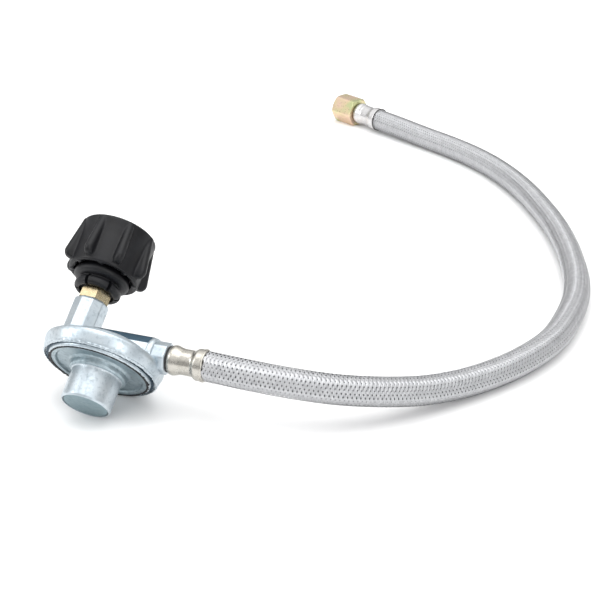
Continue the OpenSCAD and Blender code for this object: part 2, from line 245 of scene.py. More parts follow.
def braid_steel():
    """Bands of fine stainless wires: the wires run along each band, with painted shade in the grooves between
    them.
    """
    n = Nodes("braid_steel")
    place = n.node("ShaderNodeUVMap", uv_map="band")
    split = n.node("ShaderNodeSeparateXYZ")
    n.link(place.outputs["UV"], split.inputs["Vector"])
    wires = n.node("ShaderNodeMath", operation="MULTIPLY")
    wires.inputs[1].default_value = WIRES_PER_BAND * math.pi
    n.link(split.outputs["Y"], wires.inputs[0])
    round_wire = n.node("ShaderNodeMath", operation="SINE")
    n.link(wires.outputs[0], round_wire.inputs[0])
    height = n.node("ShaderNodeMath", operation="ABSOLUTE")
    n.link(round_wire.outputs[0], height.inputs[0])
    shine = n.noise(330, 3, 0.6)
    colour = n.ramp(shine, [(0.3, (0.46, 0.465, 0.48)), (0.7, (0.60, 0.605, 0.62))])
    # Painted shade: the grooves between the wires are darkened.
    colour = n.mix(n.span(height.outputs[0], 0.45, 0.0, 0.0, 0.6), colour, (0.22, 0.225, 0.235))
    normal = n.bump(height.outputs[0], 0.5, 0.00008)
    return n.finish(colour, n.span(shine, 0.26, 0.42), normal, metallic=0.88)


def moulded(name, light, dark):
    n = Nodes(name)
    grain = n.noise(700, 4, 0.6)
    colour = n.ramp(grain, [(0.3, dark), (0.7, light)])
    return n.finish(colour, n.span(grain, 0.4, 0.55), n.bump(grain, 0.1, 0.0002))


WIRES_PER_BAND = 6
# The colour of the painted shade in the cast zinc's creases.
CREASE_SHADE = (0.035, 0.045, 0.055)
LOOKS = {
    "cast_zinc": cast_zinc("cast_zinc", (0.60, 0.655, 0.69), (0.24, 0.30, 0.34), (0.46, 0.53, 0.58), 0.34),
    "cover_zinc": cast_zinc("cover_zinc", (0.40, 0.475, 0.51), (0.14, 0.19, 0.22), (0.27, 0.345, 0.38), 0.36),
    "cap_zinc": cast_zinc("cap_zinc", (0.27, 0.355, 0.385), (0.20, 0.27, 0.30), (0.235, 0.315, 0.345), 0.5),
    # A dark zinc that stands in for light: a painted dark reflection on the duct's chamfers and a painted
    # shade ring in the crimp groove.
    "painted_dark_zinc": cast_zinc(
        "painted_dark_zinc", (0.045, 0.082, 0.115), (0.03, 0.05, 0.07), (0.035, 0.065, 0.092), 0.4),
    "nickel_ferrule": turned_metal("nickel", (0.54, 0.52, 0.475), (0.45, 0.43, 0.385), 0.28, 1300),
    "bright_ferrule": turned_metal("bright_plate", (0.70, 0.69, 0.69), (0.60, 0.595, 0.60), 0.3, 1500),
    "brass": turned_metal("brass", (0.80, 0.69, 0.46), (0.66, 0.53, 0.31), 0.26, 1600),
    "zinc_plated_steel": turned_metal("plated_steel", (0.72, 0.74, 0.76), (0.5, 0.52, 0.54), 0.35, 1200),
    "spring_steel": turned_metal("spring_steel", (0.66, 0.67, 0.68), (0.44, 0.45, 0.46), 0.35, 1500),
    "black_plastic": black_plastic(),
    "rubber": rubber(),
    "yellow_chromate": chromate(),
    "steel_braid": braid_steel(),
    "pale_plastic": moulded("pale_plastic", (0.80, 0.78, 0.72), (0.68, 0.66, 0.6)),
}

# --- Mesh helpers -------------------------------------------------------------------------------


def make_object(name, points, faces, look, place=None, sharp=32):
    """A smooth-shaded object from points in metres, moved by place."""
    mesh = bpy.data.meshes.new(name)
    mesh.from_pydata([tuple(p) for p in points], [], faces)
    if place is not None:
        mesh.transform(place)
    build = bmesh.new()
    build.from_mesh(mesh)
    bmesh.ops.remove_doubles(build, verts=build.verts, dist=1e-6)
    bmesh.ops.recalc_face_normals(build, faces=build.faces)
    build.to_mesh(mesh)
    build.free()
    mesh.polygons.foreach_set("use_smooth", [True] * len(mesh.polygons))
    mesh.set_sharp_from_angle(angle=math.radians(sharp))
    mesh.materials.append(LOOKS[look])
    made = bpy.data.objects.new(name, mesh)
    bpy.context.scene.collection.objects.link(made)
    return made


def round_corners(outline, radius, steps=4):
    """A closed outline with each corner turned into a short arc."""
    points = [Vector(p) for p in outline]
    count = len(points)
    rounded = []
    for k, corner in enumerate(points):
        before = points[k - 1] - corner
        after = points[(k + 1) % count] - corner
        reach = min(radius, 0.45 * before.length, 0.45 * after.length)
        start = corner + before.normalized() * reach
        finish = corner + after.normalized() * reach
        for s in range(steps + 1):
            t = s / steps
            rounded.append(start * (1 - t) ** 2 + corner * 2 * t * (1 - t) + finish * t * t)
    return rounded


def lathe(outline, segments, shape=None):
    """Points and faces of a closed outline of (radius, height) turned about +Z. shape moves a point."""
    count = len(outline)
    points = []
    for s in range(segments):
        angle = TAU * s / segments
        for k, (radius, height) in enumerate(outline):
            if shape:
                radius, height = shape(angle, radius, height)
            points.append((radius * math.cos(angle), radius * math.sin(angle), height))
    faces = []
    for s in range(segments):
        a, b = s * count, (s + 1) % segments * count
        for k in range(count):
            n = (k + 1) % count
            if outline[k][0] < 1e-7 and outline[n][0] < 1e-7:
                continue
            faces.append((a + k, b + k, b + n, a + n))
    return points, faces


def millimetres(outline):
    return [(r * MM, z * MM) for r, z in outline]


def densify(outline, step):
    """The outline with points no further than step apart."""
    dense = []
    count = len(outline)
    for k, start in enumerate(outline):
        stop = outline[(k + 1) % count]
        start, stop = Vector(start), Vector(stop)
        pieces = max(1, math.ceil((stop - start).length / step))
        dense.extend(start.lerp(stop, s / pieces) for s in range(pieces))
    return dense


def ring_outline(inner, outer, low, high, corner):
    """The outline of a plain ring in millimetres, with rounded corners."""
    square = [(inner, low), (outer, low), (outer, high), (inner, high)]
    return round_corners(millimetres(square), corner * MM, 3)


def circle(radius, sides, turn=0.0):
    """The corners of a regular polygon, the first one at this turn."""
    angles = [turn + TAU * k / sides for k in range(sides)]
    return [(radius * math.cos(angle), radius * math.sin(angle)) for angle in angles]


def loft_faces(rings, size):
    """Faces between a number of rings of points, each of this size, and over both ends."""
    faces = []
    for k in range(rings - 1):
        for j in range(size):
            n = (j + 1) % size
            faces.append((k * size + j, k * size + n, (k + 1) * size + n, (k + 1) * size + j))
    faces.append(tuple(range(size)))
    faces.append(tuple((rings - 1) * size + j for j in range(size)))
    return faces


def line_frames(line):
    """Side and top directions square to the line at each of its points, upright, as on a lying hose."""
    frames = []
    for k in range(len(line)):
        way = (line[min(k + 1, len(line) - 1)] - line[max(k - 1, 0)]).normalized()
        side = Z_WAY.cross(way).normalized()
        frames.append((side, way.cross(side)))
    return frames


def join_parts(parts):
    """One list of points and faces from several."""
    points, faces = [], []
    for part_points, part_faces in parts:
        first = len(points)
        points.extend(part_points)
        faces.extend(tuple(first + i for i in face) for face in part_faces)
    return points, faces


def apply_modifiers(made):
    """Makes an object's mesh what its modifiers show."""
    depsgraph = bpy.context.evaluated_depsgraph_get()
    mesh = bpy.data.meshes.new_from_object(made.evaluated_get(depsgraph))
    made.modifiers.clear()
    made.data = mesh


def fuse(made, voxel, smooth_steps):
    """Fuses an object's overlapping shells into one moulded skin."""
    remesh = made.modifiers.new("fuse", "REMESH")
    remesh.mode = "VOXEL"
    remesh.voxel_size = voxel
    remesh.use_smooth_shade = True
    soften = made.modifiers.new("soften", "SMOOTH")
    soften.factor = 0.5
    soften.iterations = smooth_steps
    apply_modifiers(made)
    made.data.polygons.foreach_set("use_smooth", [True] * len(made.data.polygons))


# --- Hose ---------------------------------------------------------------------------------------

AXIS_PLACE = Vector((-0.0067, -0.0264, 0))
ROUTE_MM = [
    (56, 10.4, 30.2), (76, 11, 29.2), (98, 16, 25.9), (120.5, 25, 21.5), (141, 39, 16.5),
    (159, 56, 11.6), (175.5, 75, 8.9), (190, 95, 8.1), (202, 117, 8.1), (210, 141, 8.1),
    (213, 167, 8.1), (213, 193, 8.1), (209, 219, 8.1), (202, 244, 8.1), (193, 269, 8.1),
    (182, 294, 8.1), (169, 318, 8.1), (155, 341, 8.1), (139, 363, 8.1), (121, 383, 8.1),
    (101, 400, 8.1), (80, 414, 8.1), (57, 426.5, 8.3), (34, 438, 9.3), (12, 449, 10),
]
ROUTE = [AXIS_PLACE + Vector(p) * MM for p in ROUTE_MM]
CARRIERS = 12
BRAID_LEAD = 26.4 * MM
STEPS_PER_TURN = 72
BAND_WIDTH = 1.44 * MM
BAND_HEIGHT = 0.30 * MM
BRAID_RADIUS = 7.55 * MM
BRAID_WAVE = 0.19 * MM
BRAID_PIECES = 4
TUBE_RADIUS = 7.05 * MM
TUBE_SIDES = 32


def smooth_route():
    """The hose's centreline: a smooth curve through the route, sampled evenly along its length."""
    ends = [2 * ROUTE[0] - ROUTE[1], *ROUTE, 2 * ROUTE[-1] - ROUTE[-2]]
    fine = []
    for k in range(1, len(ends) - 2):
        a, b, c, d = ends[k - 1 : k + 3]
        for s in range(20):
            t = s / 20
            fine.append(0.5 * (2 * b + (c - a) * t + (2 * a - 5 * b + 4 * c - d) * t * t
                               + (3 * b - a - 3 * c + d) * t ** 3))
    fine.append(ROUTE[-1].copy())
    return fine


def resample(line, step):
    """Points about step apart along a line, and the line's length."""
    along = [0.0]
    for a, b in zip(line, line[1:]):
        along.append(along[-1] + (b - a).length)
    count = round(along[-1] / step)
    wanted = np.linspace(0, along[-1], count + 1)
    columns = [np.interp(wanted, along, [p[i] for p in line]) for i in range(3)]
    return [Vector(p) for p in zip(*columns)], along[-1]


def braid_bands(line, sides, tops, length, hand, carriers):
    """Bands of the braid, wound about the hose one way and weaving over two and under two of the others."""
    step = length / (len(line) - 1)
    section = [(-0.5, 0.0), (-0.34, 0.5), (0.34, 0.5), (0.5, 0.0), (0.34, -0.5), (-0.34, -0.5)]
    along = np.arange(len(line)) * step
    parts = []
    bands = []
    for carrier in carriers:
        angle = TAU * carrier / CARRIERS + hand * TAU * along / BRAID_LEAD
        crossing = 2 * CARRIERS * along / BRAID_LEAD + hand * 2 * carrier
        wave = np.sin(math.pi * crossing / 2 + hand * math.pi / 4)
        radius = BRAID_RADIUS + hand * BRAID_WAVE * np.clip(1.6 * wave, -1, 1)
        out = np.cos(angle)[:, None] * sides + np.sin(angle)[:, None] * tops
        around = hand * (np.cos(angle)[:, None] * tops - np.sin(angle)[:, None] * sides)
        middle = line + radius[:, None] * out
        way = np.gradient(middle, axis=0)
        way /= np.linalg.norm(way, axis=1)[:, None]
        across = around - (around * way).sum(1)[:, None] * way
        across /= np.linalg.norm(across, axis=1)[:, None]
        rings = [middle + BAND_WIDTH * u * across + BAND_HEIGHT * v * out for u, v in section]
        points = np.stack(rings, axis=1).reshape(-1, 3)
        parts.append((points.tolist(), loft_faces(len(line), len(section))))
        bands.append((along, section))
    return parts, bands


def band_map(mesh, bands):
    """A UV map with U along each band and V across it, for the wires."""
    layer = mesh.uv_layers.new(name="band")
    places = []
    for along, section in bands:
        for distance in along:
            for u, _ in section:
                places.append((distance / BRAID_LEAD, u + 0.5))
    for loop in mesh.loops:
        layer.data[loop.index].uv = places[loop.vertex_index]


def make_braid(line, length):
    """The woven steel braid, as pieces that each run the whole length of the hose."""
    frames = line_frames(line)
    sides = np.array([f[0] for f in frames])
    tops = np.array([f[1] for f in frames])
    points = np.array(line)
    pieces = []
    for number in range(BRAID_PIECES):
        hand = 1 if number % 2 else -1
        half = CARRIERS * 2 // BRAID_PIECES
        first = number // 2 * half
        parts, bands = braid_bands(points, sides, tops, length, hand, range(first, first + half))
        made_points, faces = join_parts(parts)
        mesh = bpy.data.meshes.new(f"braid_{number + 1}")
        mesh.from_pydata(made_points, [], faces)
        band_map(mesh, bands)
        mesh.polygons.foreach_set("use_smooth", [True] * len(mesh.polygons))
        mesh.set_sharp_from_angle(angle=math.radians(70))
        mesh.materials.append(LOOKS["steel_braid"])
        braid = bpy.data.objects.new(mesh.name, mesh)
        bpy.context.scene.collection.objects.link(braid)
        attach(braid, "regulator")
        pieces.append(braid)
    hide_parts("hose")
    return pieces


def make_tube(line):
    """The dark rubber tube that shows through the holes of the braid."""
    points = []
    for place, (side, top) in zip(line, line_frames(line)):
        points.extend(place + x * side + y * top for x, y in circle(TUBE_RADIUS, TUBE_SIDES))
    piece = make_object("rubber_tube", points, loft_faces(len(line), TUBE_SIDES), "rubber", sharp=60)
    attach(piece, "regulator")
    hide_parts("inner_tube")
    return piece


hose_line, hose_length = resample(smooth_route(), BRAID_LEAD / STEPS_PER_TURN)
braid = make_braid(hose_line, hose_length)
tube_line = hose_line[:-1:4] + [hose_line[-1]]
rubber_tube = make_tube(tube_line)

# --- Far end: ferrule, tail and flare nut -------------------------------------------------------

TAIL_START = 21 * MM
SEAL = 1 * MM


def ferrule_outline(shoulder, waist, collar):
    """The outline of a crimped ferrule in millimetres: shoulder, squeezed waist and collar."""
    return [
        (5.75, 0), (6.9, 0), (shoulder - 0.35, 0.7), (shoulder, 1.9), (shoulder, 3.0), (shoulder - 0.4, 4.2),
        (waist + 0.25, 5.6), (waist, 6.6), (waist, 12.6), (waist + 0.3, 13.6), (collar - 0.35, 14.7),
        (collar, 15.5), (collar, 19.4), (collar - 0.35, 20), (5.35, 20), (5.35, 2), (5.75, 2),
    ]


def crimp(jaws, depth, start, stop):
    """Flattens a waist between start and stop with this many jaw marks."""
    def shape(angle, radius, height):
        if radius < 6.2 * MM or not start < height < stop:
            return radius, height
        fade = min(1, (height - start) / (1.6 * MM), (stop - height) / (1.6 * MM))
        mark = abs(math.sin(jaws * angle / 2))
        return radius - depth * fade * (1 - mark ** 0.35), height
    return shape


def make_near_ferrule():
    """The ferrule at the regulator: six jaw marks about its waist and a lip at its open end."""
    outline = round_corners(millimetres(ferrule_outline(7.9, 6.85, 8.4)), 0.7 * MM, 3)
    dense = densify(outline, 0.6 * MM)
    points, faces = lathe(dense, 160, crimp(6, 0.16 * MM, 4.6 * MM, 14.4 * MM))
    place = ON_OUTLET @ Matrix.Translation((0, 0, SEAL))
    piece = make_object("crimped_ferrule", points, faces, "nickel_ferrule", place)
    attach(piece, "regulator")
    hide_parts("near_ferrule")
    lip_points, lip_faces = lathe(ring_outline(8.35, 8.62, 18.3, 19.1, 0.12), 96)
    lip = make_object("ferrule_lip", lip_points, lip_faces, "nickel_ferrule", place)
    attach(lip, "regulator")


def make_far_ferrule():
    """The ferrule at the far end, a little longer, with a dark ring where the braid goes in."""
    longer = 1.14
    stretched = [(r, z * longer) for r, z in ferrule_outline(8.25, 7.6, 8.6)]
    outline = round_corners(millimetres(stretched), 0.6 * MM, 3)
    points, faces = lathe(densify(outline, 0.7 * MM), 144, crimp(6, 0.05 * MM, 5.4 * MM, 16 * MM))
    place = ON_HOSE_END @ Matrix.Translation((0, 0, TAIL_START)) @ Matrix.Scale(-1, 4, (0, 0, 1))
    piece = make_object("far_crimp", points, faces, "bright_ferrule", place)
    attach(piece, "regulator")
    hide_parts("far_ferrule")
    groove_points, groove_faces = lathe(ring_outline(8.2, 8.78, 22.2, 22.9, 0.15), 96)
    groove = make_object("far_groove", groove_points, groove_faces, "rubber", place)
    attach(groove, "regulator")
    return [piece, groove]


FLATS = 20 * MM
NUT_LENGTH = 20 * MM
THREAD_R = 7.2 * MM
FLARE_PITCH = 1.41 * MM


def hexagon_radius(angle, across, corner):
    """How far a hexagon's side is from its middle at this angle, with rounded corners."""
    offset = (angle + math.pi / 6) % (math.pi / 3) - math.pi / 6
    flat = across / 2 / math.cos(offset)
    limit = across / math.sqrt(3) - corner
    softness = 0.12 * MM
    return -softness * math.log(math.exp(-flat / softness) + math.exp(-limit / softness))


def make_flare_nut():
    """A hexagon nut: chamfered corners at both ends, a threaded bore and a drilled floor."""
    floor = TAIL_START + 0.6 * MM
    chamfers = np.linspace(0, 3.2, 12), np.linspace(16.8, 20, 12)
    levels = np.concatenate([chamfers[0], np.linspace(3.6, 16.4, 12), chamfers[1]]) * MM
    segments = 216
    rings = []
    edge_r = FLATS / math.sqrt(3) - 1.55 * MM
    for height in levels:
        reach = edge_r + 1.75 * min(height, NUT_LENGTH - height) + 0.1 * MM
        row = []
        for s in range(segments):
            angle = TAU * s / segments
            radius = min(hexagon_radius(angle, FLATS, 0.25 * MM), reach)
            row.append((radius * math.cos(angle), radius * math.sin(angle), height))
        rings.append(row)
    bore_levels = np.linspace(19.0, 10.6, 73) * MM
    for height in [NUT_LENGTH, *bore_levels]:
        row = []
        for s in range(segments):
            angle = TAU * s / segments
            turn = (height / FLARE_PITCH + s / segments) % 1
            tooth = abs(2 * turn - 1) * 0.75 * MM
            radius = THREAD_R + (1.05 * MM if height == NUT_LENGTH else tooth)
            row.append((radius * math.cos(angle), radius * math.sin(angle), height))
        rings.append(row)
    for radius, height in [(7.8, 10.4), (7.8, 4), (5.5, 4), (5.5, 0)]:
        rings.append([(x, y, height * MM) for x, y in circle(radius * MM, segments)])
    points = [p for row in rings for p in row]
    faces = []
    for k in range(len(rings)):
        n = (k + 1) % len(rings)
        for s in range(segments):
            t = (s + 1) % segments
            faces.append((k * segments + s, k * segments + t, n * segments + t, n * segments + s))
    place = ON_HOSE_END @ Matrix.Translation((0, 0, floor))
    piece = make_object("hex_nut", points, faces, "yellow_chromate", place, sharp=24)
    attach(piece, "swivel_nut")
    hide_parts("flare_nut")
    return piece


make_near_ferrule()
far_pieces = make_far_ferrule()
hex_nut = make_flare_nut()
CAD_NODES = frame["nodes"]

# --- Regulator body -----------------------------------------------------------------------------

RIM_FACE = -1.4
CRIMP_BITES = 62


def scallops(angle, bites, size, seed):
    """A ragged wave about a rim, with bites that are never quite alike."""
    wobble = noise.noise(Vector((6 * math.cos(angle), 6 * math.sin(angle), seed)))
    bite = abs(math.sin(bites * angle / 2 + 2.2 * wobble))
    return size * (0.75 * bite + 0.9 * wobble)


def floor_height(sideways):
    """The least height along the regulator's axis that is clear of the floor, this far to its low side."""
    across = LYING.to_3x3() @ Vector((0, 1, 0))
    return (0.03 * MM - FOOT.z - across.z * sideways) / AXIS.z


def make_shell():
    """The pressed flange over the cover's rim, with its ragged crimped lip, and the dish behind it."""
    outline = round_corners(millimetres([
        (26.5, RIM_FACE - 0.1), (27.1, RIM_FACE), (27.6, -0.9), (28.0, 0.9), (28.75, 1.0), (28.85, -0.35),
        (29.4, -0.1), (30.3, 1.7), (31.1, 4.2), (31.6, 5.9), (31.6, 7.6), (30.9, 8.55), (26, 8.7),
        (23.8, 12.2), (22.4, 13), (0, 13), (0, 11.6), (21, 11.6), (21, 5), (28.35, 5), (28.35, 2.7),
        (26.75, -0.4),
    ]), 0.8 * MM, 4)
    lip_top = -0.6 * MM

    def shape(angle, radius, height):
        if 28.2 * MM < radius < 29.9 * MM and height < 1.2 * MM:
            radius += scallops(angle, CRIMP_BITES, 0.6 * MM, 3.0)
        elif 26.2 * MM < radius < 27.6 * MM and height < lip_top:
            radius += scallops(angle, 84, 0.22 * MM, 6.0)
            height += scallops(angle, 31, 0.1 * MM, 9.0)
        elif radius > 29.7 * MM:
            place = Vector((3 * math.cos(angle), 3 * math.sin(angle), 200 * height))
            radius -= 0.12 * MM * (1 + noise.noise(place))
        if radius > 28.4 * MM:
            radius *= 1 + 0.03 * math.cos(angle) ** 2
        return radius, max(height, floor_height(radius * math.sin(angle)))

    points, faces = lathe(densify(outline, 0.8 * MM), 432, shape)
    piece = make_object("body_shell", points, faces, "cast_zinc", LYING)
    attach(piece, "regulator")
    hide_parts("regulator_body")
    # A thin dark ring in the crimp groove: painted shade where the groove is hidden from the light.
    shade_ring_outline = millimetres([(27.7, 0.1), (28.3, -0.15), (28.75, -0.15), (28.75, 0.95), (27.7, 0.95)])

    def shade_ring_shape(angle, radius, height):
        radius += scallops(angle, CRIMP_BITES, 0.4 * MM, 3.0) if radius > 28 * MM else 0
        return radius, max(height, floor_height(radius * math.sin(angle)))

    points, faces = lathe(shade_ring_outline, 432, shade_ring_shape)
    shade_ring = make_object("crimp_shade_ring", points, faces, "painted_dark_zinc", LYING)
    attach(shade_ring, "regulator")


def make_rubber_edge():
    """The diaphragm's trimmed edge, which shows past the crimped lip in places."""
    outline = millimetres([(25.9, -1.75), (26.25, -1.85), (26.25, -1.1), (25.9, -1.1)])

    def shape(angle, radius, height):
        sideways = abs(math.cos(angle)) ** 2
        ragged = 0.55 + noise.noise(Vector((40 * math.cos(angle), 40 * math.sin(angle), 1.0)))
        outer = radius > 26.1 * MM
        return radius + (1.3 * MM * sideways * max(0, ragged) if outer else 0), height

    points, faces = lathe(outline, 360, shape)
    piece = make_object("rubber_edge", points, faces, "rubber", LYING, sharp=50)
    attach(piece, "regulator")


def extrude_outline(outline, start, stop, along):
    """Points and faces of a closed outline of pairs, pushed from start to stop. along makes a point."""
    count = len(outline)
    points = [along(u, v, start) for u, v in outline] + [along(u, v, stop) for u, v in outline]
    faces = [(k, (k + 1) % count, count + (k + 1) % count, count + k) for k in range(count)]
    faces += [tuple(range(count)), tuple(range(count, 2 * count))]
    return points, faces


def soften(piece, width, segments=3):
    """Rounds an object's hard edges with a bevel."""
    bevel = piece.modifiers.new("soft_edges", "BEVEL")
    bevel.width = width
    bevel.segments = segments
    bevel.limit_method = "ANGLE"
    bevel.angle_limit = math.radians(24)
    bevel.harden_normals = False


def make_duct():
    """The gas way across the dish: a flat-sided housing that ends in the outlet boss."""
    half, ridge, low, shoulder, top = 7.3, 5.3, 8.4, 16.2, 20.9
    across = millimetres([
        (-half, low), (half, low), (half, shoulder), (ridge, top), (-ridge, top), (-half, shoulder),
    ])
    points, faces = extrude_outline(across, -10 * MM, 26.2 * MM, lambda u, v, x: (x, u, v))
    duct = make_object("outlet_duct", points, faces, "cast_zinc", LYING, sharp=30)
    duct.data.materials.append(LOOKS["painted_dark_zinc"])
    # The sloped chamfer faces take the dark zinc: a painted dark reflection.
    for face in duct.data.polygons:
        if 0.3 < face.normal.dot(AXIS) < 0.9:
            face.material_index = 1
    soften(duct, 0.7 * MM)
    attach(duct, "regulator")
    flats = 8
    radius = 8 * MM / math.cos(math.pi / flats) * 0.985
    ring = circle(radius, flats, math.pi / flats)
    points, faces = extrude_outline(ring, 24.6 * MM, BOSS_FACE, lambda u, v, x: (x, u, OUTLET_HEIGHT + v))
    boss = make_object("outlet_boss", points, faces, "cast_zinc", LYING, sharp=30)
    soften(boss, 0.8 * MM)
    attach(boss, "regulator")
    flange = [(9.0, 0), (9.4, 0.6), (9.4, 2.2), (8.6, 3.4), (7.4, 3.4), (7.4, 0)]
    points, faces = lathe(round_corners(millimetres(flange), 0.4 * MM, 3), 96)
    place = ON_OUTLET @ Matrix.Translation((0, 0, -10.6 * MM))
    collar = make_object("boss_root", points, faces, "cast_zinc", place)
    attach(collar, "regulator")


POST_FLATS = 10
POST_TURN = math.radians(8)
POST_R = 9.8
POST_BORE_R = 5.9


def make_post():
    """The inlet post: ten crisp flats with a chamfer at the top, and its open bore."""
    rings = [
        (POST_R, 8), (POST_R, 34.6), (POST_R - 0.35, 35.4), (POST_R - 0.95, 36.1), (POST_BORE_R, 36.1),
        (POST_BORE_R, 22),
    ]
    points = []
    for radius, height in rings:
        points.extend((x, y, height * MM) for x, y in circle(radius * MM, POST_FLATS, POST_TURN))
    faces = loft_faces(len(rings), POST_FLATS)
    post = make_object("inlet_post", points, faces, "cast_zinc", ON_POST, sharp=20)
    soften(post, 0.35 * MM, 2)
    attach(post, "regulator")
    foot = [(8.6, 11.6), (12.2, 12.6), (10.9, 13.6), (10.1, 15.2), (9.6, 18), (8.6, 18)]
    points, faces = lathe(round_corners(millimetres(foot), 0.8 * MM, 4), 96)
    fillet = make_object("post_foot", points, faces, "cast_zinc", ON_POST)
    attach(fillet, "regulator")


TOWER_R = 13.25
TOWER_H = 21.4
TOWER_WALL = 2.4


def make_cover():
    """The cover: a flat rim, a sunk ring, and the spring tower on a low step, with its vent hole."""
    bore = TOWER_R - TOWER_WALL
    outline = round_corners(millimetres([
        (bore, 1.2), (24.2, 1.2), (24.2, 4.2), (28.1, 4.2), (28.1, 2.9), (26.15, -0.4), (26.15, RIM_FACE),
        (23.7, RIM_FACE), (23.2, 0), (16.5, 0), (15.5, -1.0), (15.3, -3.3), (14.7, -4.0),
        (TOWER_R + 0.05, -4.4), (TOWER_R, -7), (TOWER_R, 0.8 - TOWER_H), (TOWER_R - 0.7, -TOWER_H),
        (bore + 1.4, -TOWER_H), (bore + 1.4, 2 - TOWER_H), (bore, 2 - TOWER_H),
    ]), 0.55 * MM, 4)
    points, faces = lathe(densify(outline, 1.4 * MM), 240)
    piece = make_object("spring_cover", points, faces, "cover_zinc", None, sharp=34)
    points, faces = lathe(millimetres([(0, -3), (1.6, -3), (1.6, 4), (0, 4)]), 32)
    drill = make_object("vent_drill", points, faces, "cover_zinc", Matrix.Translation((0, 19.2 * MM, 0)))
    cut = piece.modifiers.new("vent", "BOOLEAN")
    cut.operation = "DIFFERENCE"
    cut.solver = "EXACT"
    cut.object = drill
    apply_modifiers(piece)
    mesh = piece.data
    mesh.set_sharp_from_angle(angle=math.radians(34))
    mesh.materials.append(LOOKS["cast_zinc"])
    for face in mesh.polygons:
        if face.center.z < -4.2 * MM:
            face.material_index = 1
    mesh.transform(LYING)
    bpy.data.objects.remove(drill)
    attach(piece, "regulator")
    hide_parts("cover")


def make_cap():
    """The plug in the tower's end: a smooth, slightly crowned disc with a rounded edge."""
    radius = TOWER_R - TOWER_WALL + 1.02
    outline = round_corners(millimetres([
        (0, 0.05), (radius * 0.6, 0.07), (radius - 0.3, 0.16), (radius, 0.4), (radius, 1.9), (0, 1.9),
    ]), 0.2 * MM, 3)
    points, faces = lathe(outline, 160)
    place = LYING @ Matrix.Translation((0, 0, -TOWER_H * MM))
    piece = make_object("tower_plug", points, faces, "cap_zinc", place)
    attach(piece, "regulator")
    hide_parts("tower_cap")


make_shell()
make_rubber_edge()
make_duct()
make_post()
make_cover()
make_cap()

# --- Tank nut and bushing -----------------------------------------------------------------------

NUT_BACK = 51.6
NUT_MOUTH = 79.6
NUT_RIBS = 8
RIB_TURN = math.radians(39)
NUT_R = 24.5
MOUTH_R = 20.75
TANK_PITCH = 5.08 * MM


def rib_loft():
    """Points and faces of one rib: slender, round-backed, tall at its heel, sunk in the rim at the mouth."""
    count = 26
    points = []
    arc = 10
    heel_length = 4.2
    back = NUT_BACK + 2.6
    front = NUT_MOUTH - 0.5
    for k in range(count):
        height = back + (front - back) * (k / (count - 1)) ** 1.4
        rise = min(1, (height - back) / heel_length)
        heel = math.sqrt(max(0, 1 - (1 - rise) ** 2))
        slope = max(0, (height - back - heel_length) / (front - back - heel_length))
        outer = NUT_R - (1 - heel) * 3.2 - (NUT_R - MOUTH_R - 0.35) * slope
        half = (2.5 - 0.35 * slope) * (0.65 + 0.35 * heel)
        ring = [(17.2, -half - 0.5), (outer - half - 0.4, -half)]
        for a in range(arc + 1):
            turn = -math.pi / 2 + math.pi * a / arc
            ring.append((outer - half + half * math.cos(turn), half * math.sin(turn)))
        ring += [(outer - half - 0.4, half), (17.2, half + 0.5)]
        points.extend((x * MM, y * MM, height * MM) for x, y in ring)
    return points, loft_faces(count, len(ring))


def make_tank_nut():
    """The hand nut: a ribbed skirt with a coarse thread inside, fused into one moulding."""
    outline = millimetres([
        (7.6, 56.6), (15.2, 56.6), (15.8, 53.2), (17.6, 52.2), (18.8, 52.1), (19.4, 52.8), (19.6, 56),
        (19.8, 70), (20.2, 75), (20.6, 77.6), (20.75, 78.7), (20.5, 79.4), (19.9, 79.6), (17.9, 79.6),
        (16.6, 78.6), (16.0, 77.9), (16.0, 59.6), (7.6, 59.6),
    ])

    def thread(angle, radius, height):
        if 15.5 * MM < radius < 16.5 * MM and 60 * MM < height < 78.2 * MM:
            turn = (height / TANK_PITCH + angle / TAU) % 1
            radius += 1.3 * MM * min(1, max(0, 2.6 * abs(2 * turn - 1) - 0.8))
        return radius, height

    parts = [lathe(densify(outline, 0.5 * MM), 240, thread)]
    for k in range(NUT_RIBS):
        turn = Matrix.Rotation(RIB_TURN + TAU * k / NUT_RIBS, 4, "Z")
        points, faces = rib_loft()
        parts.append(([turn @ Vector(p) for p in points], faces))
    peg_place = Vector((17.2 * MM, 0, 0))
    for k in range(NUT_RIBS):
        turn = Matrix.Rotation(RIB_TURN + TAU * (k + 0.5) / NUT_RIBS, 4, "Z")
        points, faces = lathe(millimetres([(0, 51.75), (1.1, 51.8), (1.7, 52.6), (1.7, 55), (0, 55)]), 24)
        parts.append(([turn @ (Vector(p) + peg_place) for p in points], faces))
    points, faces = join_parts(parts)
    piece = make_object("tank_hand_nut", points, faces, "black_plastic", None)
    fuse(piece, 0.42 * MM, 4)
    piece.data.transform(ON_POST)
    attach(piece, "tank_nut")
    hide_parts("coupling_nut")


def make_bushing():
    """The heat-release bushing: a slit collar, a neck and a rounded ring behind the nut."""
    slits = 6
    slit_turn = math.radians(22)
    slit_floor = 9.9 * MM
    collar_top = 47.5 * MM
    outline = round_corners(millimetres([
        (9.6, 41.8), (11.4, 41.8), (12.8, 43.2), (12.8, 45.8), (11.4, 47), (11.4, 47.6), (13.8, 48.2),
        (15.3, 49.6), (15.3, 51.6), (14.4, 53), (14, 56.2), (6.4, 56.2), (6.4, 45.8), (9.6, 44.8),
    ]), 1.1 * MM, 5)

    def shape(angle, radius, height):
        nearest = (angle - slit_turn + math.pi / slits) % (TAU / slits) - math.pi / slits
        if radius > slit_floor and height < collar_top and abs(nearest) * radius < 0.8 * MM:
            radius = slit_floor
        return radius, height

    points, faces = lathe(densify(outline, 0.8 * MM), 288, shape)
    piece = make_object("release_bushing", points, faces, "black_plastic", ON_POST, sharp=40)
    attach(piece, "regulator")
    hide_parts("thermal_bushing")


make_tank_nut()
make_bushing()

# --- CAD nodes that stay, each with its own finish ----------------------------------------------

